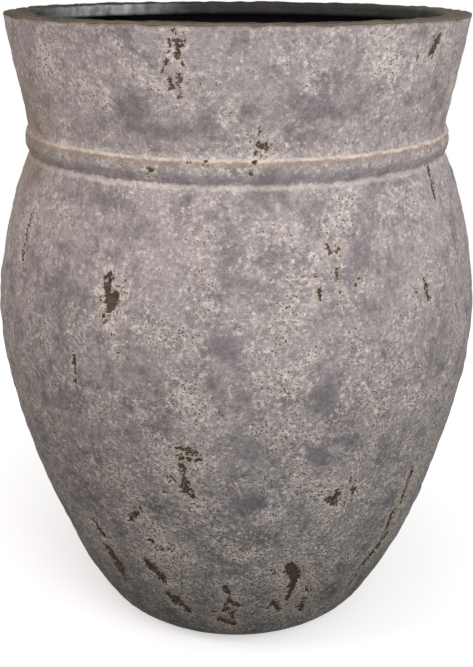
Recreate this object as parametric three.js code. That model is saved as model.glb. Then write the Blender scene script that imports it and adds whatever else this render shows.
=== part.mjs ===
// A large jar-shaped flower pot: a moulded fibre-cement body with a stone coat outside,
// a waterproof lining inside and a rubber plug in its drain hole.
// Millimetres, +Z up, origin at the centre of the base on the floor.
import * as THREE from "three";

// Overall size
const HEIGHT = 720;
const RIM_RADIUS = 254;

// Jar outline from the base up: a round heel, a full belly and a shoulder that runs in to the neck.
// A pull is the length of a curve's handle, and a turn is an angle from level.
const BASE_RADIUS = 117;
const HEEL_RADIUS = 75;
const HEEL_TURN = THREE.MathUtils.degToRad(48);
const HEEL_PULL = 41;
const BELLY_RADIUS = 280;
const BELLY_HEIGHT = 386;
const BELLY_PULL_DOWN = 135;
const BELLY_PULL_UP = 59;
const SHOULDER_PULL = 40;
const SHOULDER_TURN = THREE.MathUtils.degToRad(119);

// Half-round bead at the neck, under the flared collar
const NECK_RADIUS = 234;
const BEAD_BOTTOM = 574;
const BEAD_WIDTH = 28;
const BEAD_STAND = 4.5;

// Wall, from outside to inside, with a thin bond line between the layers
const COAT = 3;
const CORE = 10;
const LINING = 2;
const BOND = 0.3;

// Bare edges that the coat leaves on the core: a band at the rim and the foot of the heel
const BARE_RIM = 2;
const BARE_HEEL_TURN = THREE.MathUtils.degToRad(19);

// Lip turned in at the mouth, and how far under it the lining stops
const LIP_WIDTH = 29;
const LIP_HEIGHT = 16;
const LIP_ROUND = 5;
const RIM_ROUND = 1.8;
const LIP_ROOT = 9;
const LINING_DROP = 6;

// Foot ring, floor and drain hole
const FOOT_WIDTH = 24;
const FOOT_RECESS = 6;
const FLOOR = 18;
const FLOOR_SWEEP = 30;
const DRAIN_RADIUS = 16;

// Drain plug: a tapered stem, a flange that seats on the lined floor and a grip to pull it by
const PLUG_CLEARANCE = 0.4;
const PLUG_TAPER = 1.6;
const PLUG_TIP_HEIGHT = 8;
const PLUG_TIP_ROUND = 2;
const FLANGE_RADIUS = 27;
const FLANGE_EDGE = 3;
const FLANGE_DOME = 3;
const GRIP_NECK_RADIUS = 7;
const GRIP_NECK_HEIGHT = 9;
const GRIP_RADIUS = 13;
const GRIP_HEIGHT = 9;

// Facets round the pot, round the plug, and along each stretch of the outline
const POT_STEPS = 48;
const PLUG_STEPS = 30;
const BARE_HEEL_STEPS = 2;
const HEEL_STEPS = 2;
const LOWER_BELLY_STEPS = 7;
const UPPER_BELLY_STEPS = 5;
const BEAD_STEPS = 6;
const SWEEP_STEPS = 3;
const ROUND_STEPS = 2;

// Heights worked out from those above
const BEAD_TOP = BEAD_BOTTOM + BEAD_WIDTH;
const COAT_TOP = HEIGHT - BARE_RIM;
const LIP_UNDER = HEIGHT - LIP_HEIGHT;
const FLOOR_TOP = FOOT_RECESS + FLOOR;
const SEAT = FLOOR_TOP + BOND + LINING;

const QUARTER = Math.PI / 2;

// A point of an outline: its distance from the axis and its height
function at(radius, height) {
  return new THREE.Vector2(radius, height);
}

// A point some way from another, along a turn measured from level
function along(from, turn, distance) {
  return at(from.x + distance * Math.cos(turn), from.y + distance * Math.sin(turn));
}

// Points on an arc round a centre
function arc(centre, radius, fromTurn, toTurn, steps) {
  const curve = new THREE.ArcCurve(centre.x, centre.y, radius, fromTurn, toTurn);
  return curve.getPoints(steps);
}

// One line from stretches that meet end to end
function join(...stretches) {
  return stretches.flatMap((stretch, i) => (i === 0 ? stretch : stretch.slice(1)));
}

// The line that runs beside another on its left, which is the inner side of a line that climbs
function inset(line, distance) {
  return line.map((here, i) => {
    const before = line[Math.max(i - 1, 0)];
    const after = line[Math.min(i + 1, line.length - 1)];
    const way = after.clone().sub(before).normalize();
    return here.clone().add(at(-way.y, way.x).multiplyScalar(distance));
  });
}

// A solid of revolution: the loop climbs on its outer side
function revolve(loop, steps) {
  return new THREE.LatheGeometry(loop, steps).rotateX(QUARTER);
}

function closed(loop) {
  return [...loop, loop[0]];
}

// Part of the heel's arc, which rises from the base with a level start
function heel(fromTurn, toTurn, steps) {
  return arc(at(BASE_RADIUS, HEEL_RADIUS), HEEL_RADIUS, fromTurn - QUARTER, toTurn - QUARTER, steps);
}

function lowerBelly(start) {
  const handle = along(start, HEEL_TURN, HEEL_PULL);
  const widest = at(BELLY_RADIUS, BELLY_HEIGHT);
  const lowHandle = at(BELLY_RADIUS, BELLY_HEIGHT - BELLY_PULL_DOWN);
  return new THREE.CubicBezierCurve(start, handle, lowHandle, widest).getPoints(LOWER_BELLY_STEPS);
}

function upperBelly() {
  const widest = at(BELLY_RADIUS, BELLY_HEIGHT);
  const highHandle = at(BELLY_RADIUS, BELLY_HEIGHT + BELLY_PULL_UP);
  const neck = at(NECK_RADIUS, BEAD_BOTTOM);
  const handle = along(neck, SHOULDER_TURN, -SHOULDER_PULL);
  return new THREE.CubicBezierCurve(widest, highHandle, handle, neck).getPoints(UPPER_BELLY_STEPS);
}

// The bead is an arc on a chord from its bottom to its top
function bead() {
  const half = BEAD_WIDTH / 2;
  const radius = (half * half + BEAD_STAND * BEAD_STAND) / (2 * BEAD_STAND);
  const turn = Math.asin(half / radius);
  const centre = at(NECK_RADIUS + BEAD_STAND - radius, BEAD_BOTTOM + half);
  return arc(centre, radius, -turn, turn, BEAD_STEPS);
}

// The collar flares in a straight line from the bead to the rim
function collar(height) {
  const rise = (height - BEAD_TOP) / (HEIGHT - BEAD_TOP);
  return at(THREE.MathUtils.lerp(NECK_RADIUS, RIM_RADIUS, rise), height);
}

// The outside of the jar, from a point on the heel to a height on the collar
function outside(heelStart, top) {
  const coatedHeel = heel(heelStart, HEEL_TURN, HEEL_STEPS);
  const belly = join(coatedHeel, lowerBelly(coatedHeel.at(-1)), upperBelly());
  return join(belly, bead(), [collar(BEAD_TOP), collar(top)]);
}

// The core's outer face has a shallow pocket for the coat, between the bare heel and the bare rim
function corePocket() {
  return inset(outside(BARE_HEEL_TURN, COAT_TOP), COAT + BOND);
}

// The core's inner face: a level floor that sweeps up into a wall with no bead, up to the lip's root
function coreInside() {
  const rootHeight = LIP_UNDER - LIP_ROOT;
  const belly = outside(BARE_HEEL_TURN, COAT_TOP).filter((p) => p.y <= BEAD_BOTTOM);
  const plainWall = [...belly, collar(BEAD_TOP), collar(rootHeight - LINING_DROP), collar(rootHeight)];
  const wall = inset(plainWall, COAT + BOND + CORE).filter((p) => p.y > FLOOR_TOP + FLOOR_SWEEP);
  const down = wall[0].clone().sub(wall[1]).normalize();
  const corner = wall[0].clone().addScaledVector(down, (FLOOR_TOP - wall[0].y) / down.y);
  const sweepStart = at(corner.x - FLOOR_SWEEP, FLOOR_TOP);
  const sweep = new THREE.QuadraticBezierCurve(sweepStart, corner, wall[0]).getPoints(SWEEP_STEPS);
  return [at(DRAIN_RADIUS, FLOOR_TOP), ...join(sweep, wall)];
}

function fibreCore() {
  const foot = BASE_RADIUS - FOOT_WIDTH;
  const mouth = RIM_RADIUS - LIP_WIDTH;
  const rimEdge = collar(COAT_TOP);
  const rimCentre = at(rimEdge.x - RIM_ROUND, HEIGHT - RIM_ROUND);
  const lipCentre = at(mouth + LIP_ROUND, HEIGHT - LIP_ROUND);
  const lipFootCentre = at(mouth + LIP_ROUND, LIP_UNDER + LIP_ROUND);
  return revolve(closed([
    at(DRAIN_RADIUS, FOOT_RECESS),
    at(foot - FOOT_RECESS, FOOT_RECESS),
    at(foot, 0),
    ...heel(0, BARE_HEEL_TURN, BARE_HEEL_STEPS),
    ...corePocket(),
    rimEdge,
    ...arc(rimCentre, RIM_ROUND, 0, QUARTER, ROUND_STEPS),
    ...arc(lipCentre, LIP_ROUND, QUARTER, 2 * QUARTER, ROUND_STEPS),
    ...arc(lipFootCentre, LIP_ROUND, 2 * QUARTER, 3 * QUARTER, ROUND_STEPS),
    ...coreInside().reverse(),
  ]), POT_STEPS);
}

// The coat fills the core's pocket and carries the bead
function stoneCoat() {
  const face = outside(BARE_HEEL_TURN + BOND / HEEL_RADIUS, COAT_TOP - BOND);
  const back = inset(face, COAT).reverse();
  return revolve(closed([...face, ...back]), POT_STEPS);
}

// The lining covers the floor and the wall, and stops short of the lip
function innerLining() {
  const bonded = coreInside().slice(0, -1);
  const back = inset(bonded, BOND);
  const face = inset(bonded, BOND + LINING).reverse();
  return revolve(closed([...back, ...face]), POT_STEPS);
}

function drainPlug() {
  const stem = DRAIN_RADIUS - PLUG_CLEARANCE;
  const tip = stem - PLUG_TAPER;
  const flangeTop = SEAT + FLANGE_EDGE;
  const neckFoot = flangeTop + FLANGE_DOME;
  const neckTop = neckFoot + GRIP_NECK_HEIGHT;
  const dome = new THREE.QuadraticBezierCurve(
    at(FLANGE_RADIUS, flangeTop), at(FLANGE_RADIUS, neckFoot), at(GRIP_NECK_RADIUS, neckFoot));
  const half = GRIP_HEIGHT / 2;
  const grip = arc(at(GRIP_RADIUS - half, neckTop + half), half, -QUARTER, QUARTER, 2 * ROUND_STEPS);
  const profile = [
    at(0, PLUG_TIP_HEIGHT),
    at(tip - PLUG_TIP_ROUND, PLUG_TIP_HEIGHT),
    at(tip, PLUG_TIP_HEIGHT + PLUG_TIP_ROUND),
    at(stem, SEAT),
    at(FLANGE_RADIUS, SEAT),
    ...dome.getPoints(ROUND_STEPS),
    at(GRIP_NECK_RADIUS, neckTop),
    ...grip,
    at(0, neckTop + GRIP_HEIGHT),
  ];
  return revolve(profile, PLUG_STEPS);
}

const pot = new THREE.Group();

function add(name, geometry, color, roughness) {
  const mesh = new THREE.Mesh(geometry, new THREE.MeshStandardMaterial({ color, roughness, metalness: 0 }));
  mesh.name = name;
  pot.add(mesh);
}

add("fibre_core", fibreCore(), "#5a5046", 0.9);
add("stone_coat", stoneCoat(), "#948a88", 0.85);
add("inner_lining", innerLining(), "#1d1c1b", 0.6);
add("drain_plug", drainPlug(), "#29282a", 0.7);

export default pot;
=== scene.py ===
# %% [markdown]
# # A weathered jar-shaped flower pot
# The real pot is laid up by hand in a mould. Its core is fibre cement, a stone coat is washed over the
# outside, a black waterproof coat is brushed on the inside, and a rubber plug closes the drain hole. The
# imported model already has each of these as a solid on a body. This lesson makes a finer mesh for each one,
# in the same place and the same size, and gives it the wear that the eye looks for.

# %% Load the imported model
import math

import bpy
import numpy as np
from mathutils import Matrix


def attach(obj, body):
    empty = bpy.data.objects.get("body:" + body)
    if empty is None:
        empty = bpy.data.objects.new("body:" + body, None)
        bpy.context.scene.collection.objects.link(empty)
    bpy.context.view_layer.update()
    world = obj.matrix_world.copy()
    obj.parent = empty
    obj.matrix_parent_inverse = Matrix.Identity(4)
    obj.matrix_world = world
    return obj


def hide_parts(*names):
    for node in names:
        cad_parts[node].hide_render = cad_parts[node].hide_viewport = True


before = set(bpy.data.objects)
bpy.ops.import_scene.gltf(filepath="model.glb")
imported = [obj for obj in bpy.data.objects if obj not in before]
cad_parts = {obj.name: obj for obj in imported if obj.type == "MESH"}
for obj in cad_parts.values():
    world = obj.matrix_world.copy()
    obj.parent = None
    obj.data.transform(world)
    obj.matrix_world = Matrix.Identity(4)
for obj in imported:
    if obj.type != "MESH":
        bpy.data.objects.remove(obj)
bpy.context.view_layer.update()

# %% [markdown]
# ## The sizes of the jar
# A turned pot is drawn as one outline, from the middle of the base up the outside to the rim. The values
# below are the driving sizes of the solids, in millimetres. A pull is the length of a curve's handle, and a
# turn is an angle from level, in degrees.

# %% Driving sizes in millimetres
HEIGHT, RIM_RADIUS = 720, 254
BASE_RADIUS, HEEL_RADIUS, HEEL_TURN, HEEL_PULL = 117, 75, 48, 41
BELLY_RADIUS, BELLY_HEIGHT, BELLY_PULL_DOWN, BELLY_PULL_UP = 280, 386, 135, 59
SHOULDER_PULL, SHOULDER_TURN = 40, 119
NECK_RADIUS, BEAD_BOTTOM, BEAD_WIDTH, BEAD_STAND = 234, 574, 28, 4.5
COAT, CORE, LINING, BOND = 3, 10, 2, 0.3
BARE_RIM, BARE_HEEL_TURN = 2, 19
LIP_WIDTH, LIP_HEIGHT, LIP_ROUND, RIM_ROUND, LIP_ROOT, LINING_DROP = 29, 16, 5, 1.8, 9, 6
FOOT_WIDTH, FOOT_RECESS, FLOOR, FLOOR_SWEEP, DRAIN_RADIUS = 24, 6, 18, 30, 16

BEAD_TOP = BEAD_BOTTOM + BEAD_WIDTH
COAT_TOP = HEIGHT - BARE_RIM
LIP_UNDER = HEIGHT - LIP_HEIGHT
FLOOR_TOP = FOOT_RECESS + FLOOR
SEAT = FLOOR_TOP + BOND + LINING

# %% [markdown]
# ## Drawing an outline
# An outline is a list of points, each a distance from the axis and a height. Five small helpers are enough:
# an arc, a Bezier curve with two handles, a step in a direction, a line that runs beside another, and a
# resampler. The resampler places the points at an even distance, so the faces of the mesh come out nearly
# square, and closer together where a small form such as the bead needs it.

# %% Outline helpers
def arc(centre, radius, start, end):
    turns = np.radians(np.linspace(start, end, 40))
    return np.column_stack((centre[0] + radius * np.cos(turns), centre[1] + radius * np.sin(turns)))


def bezier(a, b, c, d):
    a, b, c, d = (np.array(point, float) for point in (a, b, c, d))
    t = np.linspace(0, 1, 300)[:, None]
    return (1 - t) ** 3 * a + 3 * (1 - t) ** 2 * t * b + 3 * (1 - t) * t ** 2 * c + t ** 3 * d


def along(start, turn, distance):
    angle = math.radians(turn)
    return (start[0] + distance * math.cos(angle), start[1] + distance * math.sin(angle))


def beside(line, distance):
    way = np.gradient(line, axis=0)
    way /= np.linalg.norm(way, axis=1)[:, None]
    return line + distance * np.column_stack((-way[:, 1], way[:, 0]))


def spaced(line, gap):
    """Points along a line. gap is a distance in millimetres, or a function that gives it at each point."""
    steps = np.linalg.norm(np.diff(line, axis=0), axis=1)
    gaps = gap(line) if callable(gap) else np.full(len(line), float(gap))
    count = np.concatenate(([0], np.cumsum(steps / ((gaps[1:] + gaps[:-1]) / 2))))
    places = np.linspace(0, count[-1], max(2, round(count[-1]) + 1))
    return np.column_stack([np.interp(places, count, line[:, i]) for i in (0, 1)])


# %% [markdown]
# ## The outside of the jar
# The outside is a round heel, a full belly, a shoulder that runs in to the neck, a half-round bead and a
# straight flared collar. A trowel leaves the top of the bead soft, so the sharp meeting of bead and collar
# is relaxed there by averaging each point with its neighbours. The groove under the bead stays crisp. A gap
# is the distance between the points of an outline. A pair of gaps is for the bead and for the rest.

# %% The outside line
BEAD_REACH, SOFT_REACH, SOFT_PASSES = 21, 8, 3
FACE_GAPS, COAT_BACK_GAPS, POCKET_GAPS = (1.5, 4.3), (8, 36), (6, 30)
HIDDEN_GAP, LINING_GAP, UNDERSIDE_GAP, HEEL_GAP, LIP_GAP, PLUG_GAP = 12, 8, 5, 3, 1.6, 1.1


def collar(height):
    rise = (height - BEAD_TOP) / (HEIGHT - BEAD_TOP)
    return (NECK_RADIUS + (RIM_RADIUS - NECK_RADIUS) * rise, height)


def outside(heel_start, top):
    heel = arc((BASE_RADIUS, HEEL_RADIUS), HEEL_RADIUS, heel_start - 90, HEEL_TURN - 90)
    widest = (BELLY_RADIUS, BELLY_HEIGHT)
    neck = (NECK_RADIUS, BEAD_BOTTOM)
    lower = bezier(heel[-1], along(heel[-1], HEEL_TURN, HEEL_PULL),
                   (BELLY_RADIUS, BELLY_HEIGHT - BELLY_PULL_DOWN), widest)
    upper = bezier(widest, (BELLY_RADIUS, BELLY_HEIGHT + BELLY_PULL_UP),
                   along(neck, SHOULDER_TURN, -SHOULDER_PULL), neck)
    half = BEAD_WIDTH / 2
    bead_radius = (half ** 2 + BEAD_STAND ** 2) / (2 * BEAD_STAND)
    bead_turn = math.degrees(math.asin(half / bead_radius))
    bead_middle = (NECK_RADIUS + BEAD_STAND - bead_radius, BEAD_BOTTOM + half)
    bead = arc(bead_middle, bead_radius, -bead_turn, bead_turn)
    flare = np.linspace(collar(BEAD_TOP), collar(top), 60)
    return np.concatenate((heel, lower[1:], upper[1:], bead[1:], flare[1:]))


def soften(line, height, reach, passes):
    """Relaxes a line near a height, where a trowel has run over a corner."""
    near = np.abs(line[1:-1, 1] - height) < reach
    for _ in range(passes):
        middle = (line[:-2] + 2 * line[1:-1] + line[2:]) / 4
        line[1:-1][near] = middle[near]
    return line


def finer_at_bead(near, elsewhere):
    middle = BEAD_BOTTOM + BEAD_WIDTH / 2
    return lambda line: np.where(np.abs(line[:, 1] - middle) < BEAD_REACH, near, elsewhere)


jar_line = outside(BARE_HEEL_TURN, COAT_TOP)
coat_face = soften(spaced(jar_line, finer_at_bead(*FACE_GAPS)), BEAD_TOP, SOFT_REACH, SOFT_PASSES)
coat_back = spaced(beside(jar_line, COAT), finer_at_bead(*COAT_BACK_GAPS))[::-1]
coat_loop = np.concatenate((coat_face, coat_back))
print("coat outline:", len(coat_face), "points on the face and", len(coat_back), "behind it")

# %% [markdown]
# ## The core, the lining and the plug
# The core shows only at the lip, at the thin bare edge of the rim and under the pot, so its loop is fine
# there and coarser where the coat or the lining hides it, though not so coarse that it would cut the corner
# at the floor and show through the lining. The lining follows the core's inner wall and floor. The plug is
# a tapered stem, a flange that sits on the lined floor and a knob to pull it by.

# %% Loops of the core and the lining
def inside_line():
    """The core's inner face, from the drain hole over the floor and up the wall to the root of the lip."""
    root = LIP_UNDER - LIP_ROOT
    wall_line = jar_line[jar_line[:, 1] <= BEAD_BOTTOM]
    wall_line = np.concatenate((wall_line, [collar(BEAD_TOP), collar(root - LINING_DROP), collar(root)]))
    wall = beside(spaced(wall_line, HIDDEN_GAP), COAT + BOND + CORE)
    wall = wall[wall[:, 1] > FLOOR_TOP + FLOOR_SWEEP]
    down = (wall[0] - wall[1]) / np.linalg.norm(wall[0] - wall[1])
    corner = wall[0] + down * (FLOOR_TOP - wall[0, 1]) / down[1]
    start = np.array((corner[0] - FLOOR_SWEEP, FLOOR_TOP))
    sweep = bezier(start, start + (corner - start) * 2 / 3, wall[0] + (corner - wall[0]) * 2 / 3, wall[0])
    return np.concatenate(([(DRAIN_RADIUS, FLOOR_TOP)], sweep, wall[1:]))


core_inside = inside_line()
mouth = RIM_RADIUS - LIP_WIDTH
foot = BASE_RADIUS - FOOT_WIDTH
rim_edge = collar(COAT_TOP)
pocket = beside(jar_line, COAT + BOND)
lip = np.concatenate((
    [rim_edge],
    arc((rim_edge[0] - RIM_ROUND, HEIGHT - RIM_ROUND), RIM_ROUND, 0, 90),
    arc((mouth + LIP_ROUND, HEIGHT - LIP_ROUND), LIP_ROUND, 90, 180),
    arc((mouth + LIP_ROUND, LIP_UNDER + LIP_ROUND), LIP_ROUND, 180, 270),
    core_inside[-1:]))
underside = np.array([
    (DRAIN_RADIUS, FOOT_RECESS), (foot - FOOT_RECESS, FOOT_RECESS), (foot, 0), (BASE_RADIUS, 0)])
bare_heel = arc((BASE_RADIUS, HEEL_RADIUS), HEEL_RADIUS, -90, BARE_HEEL_TURN - 90)
core_loop = np.concatenate((
    spaced(underside, UNDERSIDE_GAP), spaced(bare_heel, HEEL_GAP)[1:],
    spaced(pocket, finer_at_bead(*POCKET_GAPS)), spaced(lip, LIP_GAP),
    spaced(core_inside[::-1], HIDDEN_GAP)[1:]))
lining_back = spaced(beside(core_inside[:-1], BOND), HIDDEN_GAP)
lining_face = spaced(beside(core_inside[:-1], BOND + LINING), LINING_GAP)[::-1]
lining_loop = np.concatenate((lining_back, lining_face))
print("core outline:", len(core_loop), "points, lining outline:", len(lining_loop), "points")

# %% The plug's outline
PLUG_CLEARANCE, PLUG_TAPER, PLUG_TIP_HEIGHT, PLUG_TIP_ROUND = 0.4, 1.6, 8, 2
FLANGE_RADIUS, FLANGE_EDGE, FLANGE_DOME, FLANGE_PULL, FLANGE_CHAMFER = 27, 3, 3, 8, 0.5
GRIP_NECK_RADIUS, GRIP_NECK_HEIGHT, GRIP_RADIUS, GRIP_HEIGHT, GRIP_FILLET = 7, 9, 13, 9, 3

stem = DRAIN_RADIUS - PLUG_CLEARANCE
tip = stem - PLUG_TAPER
flange_top = SEAT + FLANGE_EDGE
neck_foot = flange_top + FLANGE_DOME
neck_top = neck_foot + GRIP_NECK_HEIGHT
knob = GRIP_HEIGHT / 2
fillet = GRIP_NECK_RADIUS + GRIP_FILLET
dome = bezier((FLANGE_RADIUS, flange_top), (FLANGE_RADIUS, neck_foot),
              (FLANGE_RADIUS - FLANGE_PULL, neck_foot), (fillet, neck_foot))
plug_line = np.concatenate((
    [(0, PLUG_TIP_HEIGHT)],
    arc((tip - PLUG_TIP_ROUND, PLUG_TIP_HEIGHT + PLUG_TIP_ROUND), PLUG_TIP_ROUND, -90, 0),
    [(stem, SEAT), (FLANGE_RADIUS - FLANGE_CHAMFER, SEAT), (FLANGE_RADIUS, SEAT + FLANGE_CHAMFER)],
    dome,
    arc((fillet, neck_foot + GRIP_FILLET), GRIP_FILLET, 270, 180),
    arc((GRIP_RADIUS - knob, neck_top + knob), knob, -90, 90),
    [(0, neck_top + GRIP_HEIGHT)]))
plug_line = spaced(plug_line, PLUG_GAP)
print("plug outline:", len(plug_line), "points, top at", neck_top + GRIP_HEIGHT, "mm")

# %% [markdown]
# ## One function to add a node
# Node trees get long, so one function adds a node, sets its properties and fills its inputs. An input is a
# plain value, an output of another node, or a node, which then gives the first of its outputs that is in
# use. The two ends of a range may be given as a pair. Some settings come up again and again, so they have
# names: a mask with smooth ends, a noise with a fourth coordinate as its seed, and a mix of colours. Two
# more functions take up what the trees share: a sum of masks, each times its weight, and the end of every
# Geometry Nodes tree.

# %% Adding nodes
SMOOTH = {"interpolation_type": "SMOOTHSTEP"}
SEEDED = {"noise_dimensions": "4D"}
COLOUR = {"data_type": "RGBA"}


def node(tree, kind, inputs=None, **settings):
    made = tree.nodes.new(kind)
    for name, value in settings.items():
        setattr(made, name, value)
    for socket, value in (inputs or {}).items():
        if isinstance(value, bpy.types.Node):
            value = next(output for output in value.outputs if output.enabled)
        if isinstance(value, bpy.types.NodeSocket):
            tree.links.new(value, made.inputs[socket])
        elif socket in ("From", "To"):
            made.inputs[socket + " Min"].default_value, made.inputs[socket + " Max"].default_value = value
        else:
            made.inputs[socket].default_value = value
    return made


def weighted(tree, base, *masks):
    """A value with masks added to it, each times its weight."""
    for mask, weight in masks:
        base = node(tree, "ShaderNodeMath", {0: mask, 1: weight, 2: base}, operation="MULTIPLY_ADD")
    return base


def new_tree(name, inputs):
    """A Geometry Nodes tree with a geometry going through it and named inputs."""
    tree = bpy.data.node_groups.new(name, "GeometryNodeTree")
    tree.interface.new_socket("Geometry", in_out="INPUT", socket_type="NodeSocketGeometry")
    tree.interface.new_socket("Geometry", in_out="OUTPUT", socket_type="NodeSocketGeometry")
    for label, kind in inputs:
        tree.interface.new_socket(label, in_out="INPUT", socket_type="NodeSocket" + kind)
    return tree


def end_tree(tree, geometry, finish):
    """Ends a tree with real geometry that has its material."""
    real = node(tree, "GeometryNodeRealizeInstances", {"Geometry": geometry})
    done = node(tree, "GeometryNodeSetMaterial", {"Geometry": real, "Material": finish})
    node(tree, "NodeGroupOutput", {"Geometry": done})


def run_tree(tree, piece, values):
    """Runs a tree on a piece, keeps the result as a plain mesh and takes the modifier off again."""
    modifier = piece.modifiers.new(tree.name, "NODES")
    modifier.node_group = tree
    for item in tree.interface.items_tree:
        if item.in_out == "INPUT" and item.name in values:
            modifier[item.identifier] = values[item.name]
    graph = bpy.context.evaluated_depsgraph_get()
    made = bpy.data.meshes.new_from_object(piece.evaluated_get(graph), preserve_all_data_layers=True,
                                           depsgraph=graph)
    piece.modifiers.remove(modifier)
    made.name = piece.name
    piece.data = made


# %% [markdown]
# ## Turning an outline on the wheel
# A lathe shape could come from the Screw modifier or from Spin. A Geometry Nodes tree is chosen because the
# same tree then turns all four pieces. It makes a flat grid, gives every row of it one point of the outline
# and turns every column a little further round the axis. The last row and column fall on the first ones and
# are merged, so the surface has no open seam. The plug's outline starts and ends on the axis, and its end
# rows merge there.

# %% The wheel tree
SEAM_REACH = 0.00001
COAT_COLUMNS, CORE_COLUMNS, LINING_COLUMNS, PLUG_COLUMNS = 440, 300, 200, 72


def wheel_tree():
    tree = new_tree("Turn on the wheel", [("Columns", "Int"), ("Rows", "Int"), ("Points", "Int"),
                                          ("Finish", "Material")])
    given = node(tree, "NodeGroupInput")
    columns = node(tree, "ShaderNodeMath", {0: given.outputs["Columns"], 1: 1.0}, operation="ADD")
    rows = node(tree, "ShaderNodeMath", {0: given.outputs["Rows"], 1: 1.0}, operation="ADD")
    grid = node(tree, "GeometryNodeMeshGrid", {"Size X": 1.0, "Size Y": 1.0, "Vertices X": columns,
                                               "Vertices Y": rows})
    place = node(tree, "GeometryNodeInputPosition")
    flat = node(tree, "ShaderNodeSeparateXYZ", {0: place})
    share = node(tree, "ShaderNodeMath", {0: flat.outputs["Y"], 1: 0.5}, operation="ADD")
    row = node(tree, "ShaderNodeMath", {0: share, 1: given.outputs["Rows"]}, operation="MULTIPLY")
    whole = node(tree, "ShaderNodeMath", {0: row}, operation="ROUND")
    wrapped = node(tree, "ShaderNodeMath", {0: whole, 1: given.outputs["Points"]}, operation="MODULO")
    outline = node(tree, "GeometryNodeSampleIndex", {"Geometry": given.outputs["Geometry"],
                                                     "Index": wrapped}, data_type="FLOAT_VECTOR",
                   domain="POINT")
    tree.links.new(place.outputs[0], outline.inputs["Value"])
    angle = node(tree, "ShaderNodeMath", {0: flat.outputs["X"], 1: 2 * math.pi}, operation="MULTIPLY")
    turned = node(tree, "ShaderNodeVectorRotate", {"Vector": outline.outputs["Value"], "Angle": angle},
                  rotation_type="Z_AXIS")
    moved = node(tree, "GeometryNodeSetPosition", {"Geometry": grid.outputs["Mesh"], "Position": turned})
    merged = node(tree, "GeometryNodeMergeByDistance", {"Geometry": moved, "Distance": SEAM_REACH})
    smooth = node(tree, "GeometryNodeSetShadeSmooth", {"Geometry": merged})
    end_tree(tree, smooth, given.outputs["Finish"])
    return tree


wheel = wheel_tree()


def turned_piece(name, outline, columns, finish, closed=True):
    """Turns an outline in millimetres into a piece in metres. It is drawn on the side that faces front."""
    points = [(0, -radius / 1000, height / 1000) for radius, height in outline]
    drawn = bpy.data.meshes.new(name)
    drawn.from_pydata(points, [(i, i + 1) for i in range(len(points) - 1)], [])
    piece = bpy.data.objects.new(name, drawn)
    bpy.context.scene.collection.objects.link(piece)
    rows = len(points) if closed else len(points) - 1
    run_tree(wheel, piece, {"Columns": columns, "Rows": rows, "Points": len(points), "Finish": finish})
    print(name, "has", len(piece.data.polygons), "faces")
    return piece


# %% [markdown]
# ## Colours and patterns
# Colours are written as the sRGB hex values that a picture editor shows, and Blender's shaders want linear
# light, so one function converts them. Noise sizes are written in millimetres: with Object coordinates in
# metres, a pattern of that size repeats 1000 divided by the size times in each metre. Every finish ends in
# the same way, and two of them have strokes of a brush, so each of these is a function too.

# %% Colour, scale and what finishes share
def paint(code):
    parts = [int(code[i:i + 2], 16) / 255 for i in (1, 3, 5)]
    return tuple(p / 12.92 if p <= 0.04045 else ((p + 0.055) / 1.055) ** 2.4 for p in parts) + (1.0,)


def per_metre(millimetres):
    return 1000 / millimetres


def new_finish(name):
    finish = bpy.data.materials.new(name)
    finish.use_nodes = True
    finish.node_tree.nodes.clear()
    return finish, finish.node_tree


def end_finish(tree, values, relief, strength, depth):
    """Ends a finish with a bump from a relief, one Principled shader and the output."""
    bump = node(tree, "ShaderNodeBump", {"Height": relief, "Strength": strength, "Distance": depth})
    shader = node(tree, "ShaderNodeBsdfPrincipled", {**values, "Normal": bump})
    node(tree, "ShaderNodeOutputMaterial", {"Surface": shader})


def brush_strokes(tree, place, radius, stretch, size):
    """The angle round the axis, and noise that is stretched along the height as strokes of a brush are."""
    angle = node(tree, "ShaderNodeMath", {0: place.outputs["X"], 1: place.outputs["Y"]},
                 operation="ARCTAN2")
    round_axis = node(tree, "ShaderNodeMath", {0: angle, 1: radius}, operation="MULTIPLY")
    up = node(tree, "ShaderNodeMath", {0: place.outputs["Z"], 1: stretch}, operation="MULTIPLY")
    unrolled = node(tree, "ShaderNodeCombineXYZ", {0: round_axis, 1: up})
    strokes = node(tree, "ShaderNodeTexNoise", {"Vector": unrolled, "Scale": per_metre(size), "Detail": 4.0,
                                                "Roughness": 0.6})
    return angle, strokes
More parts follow.
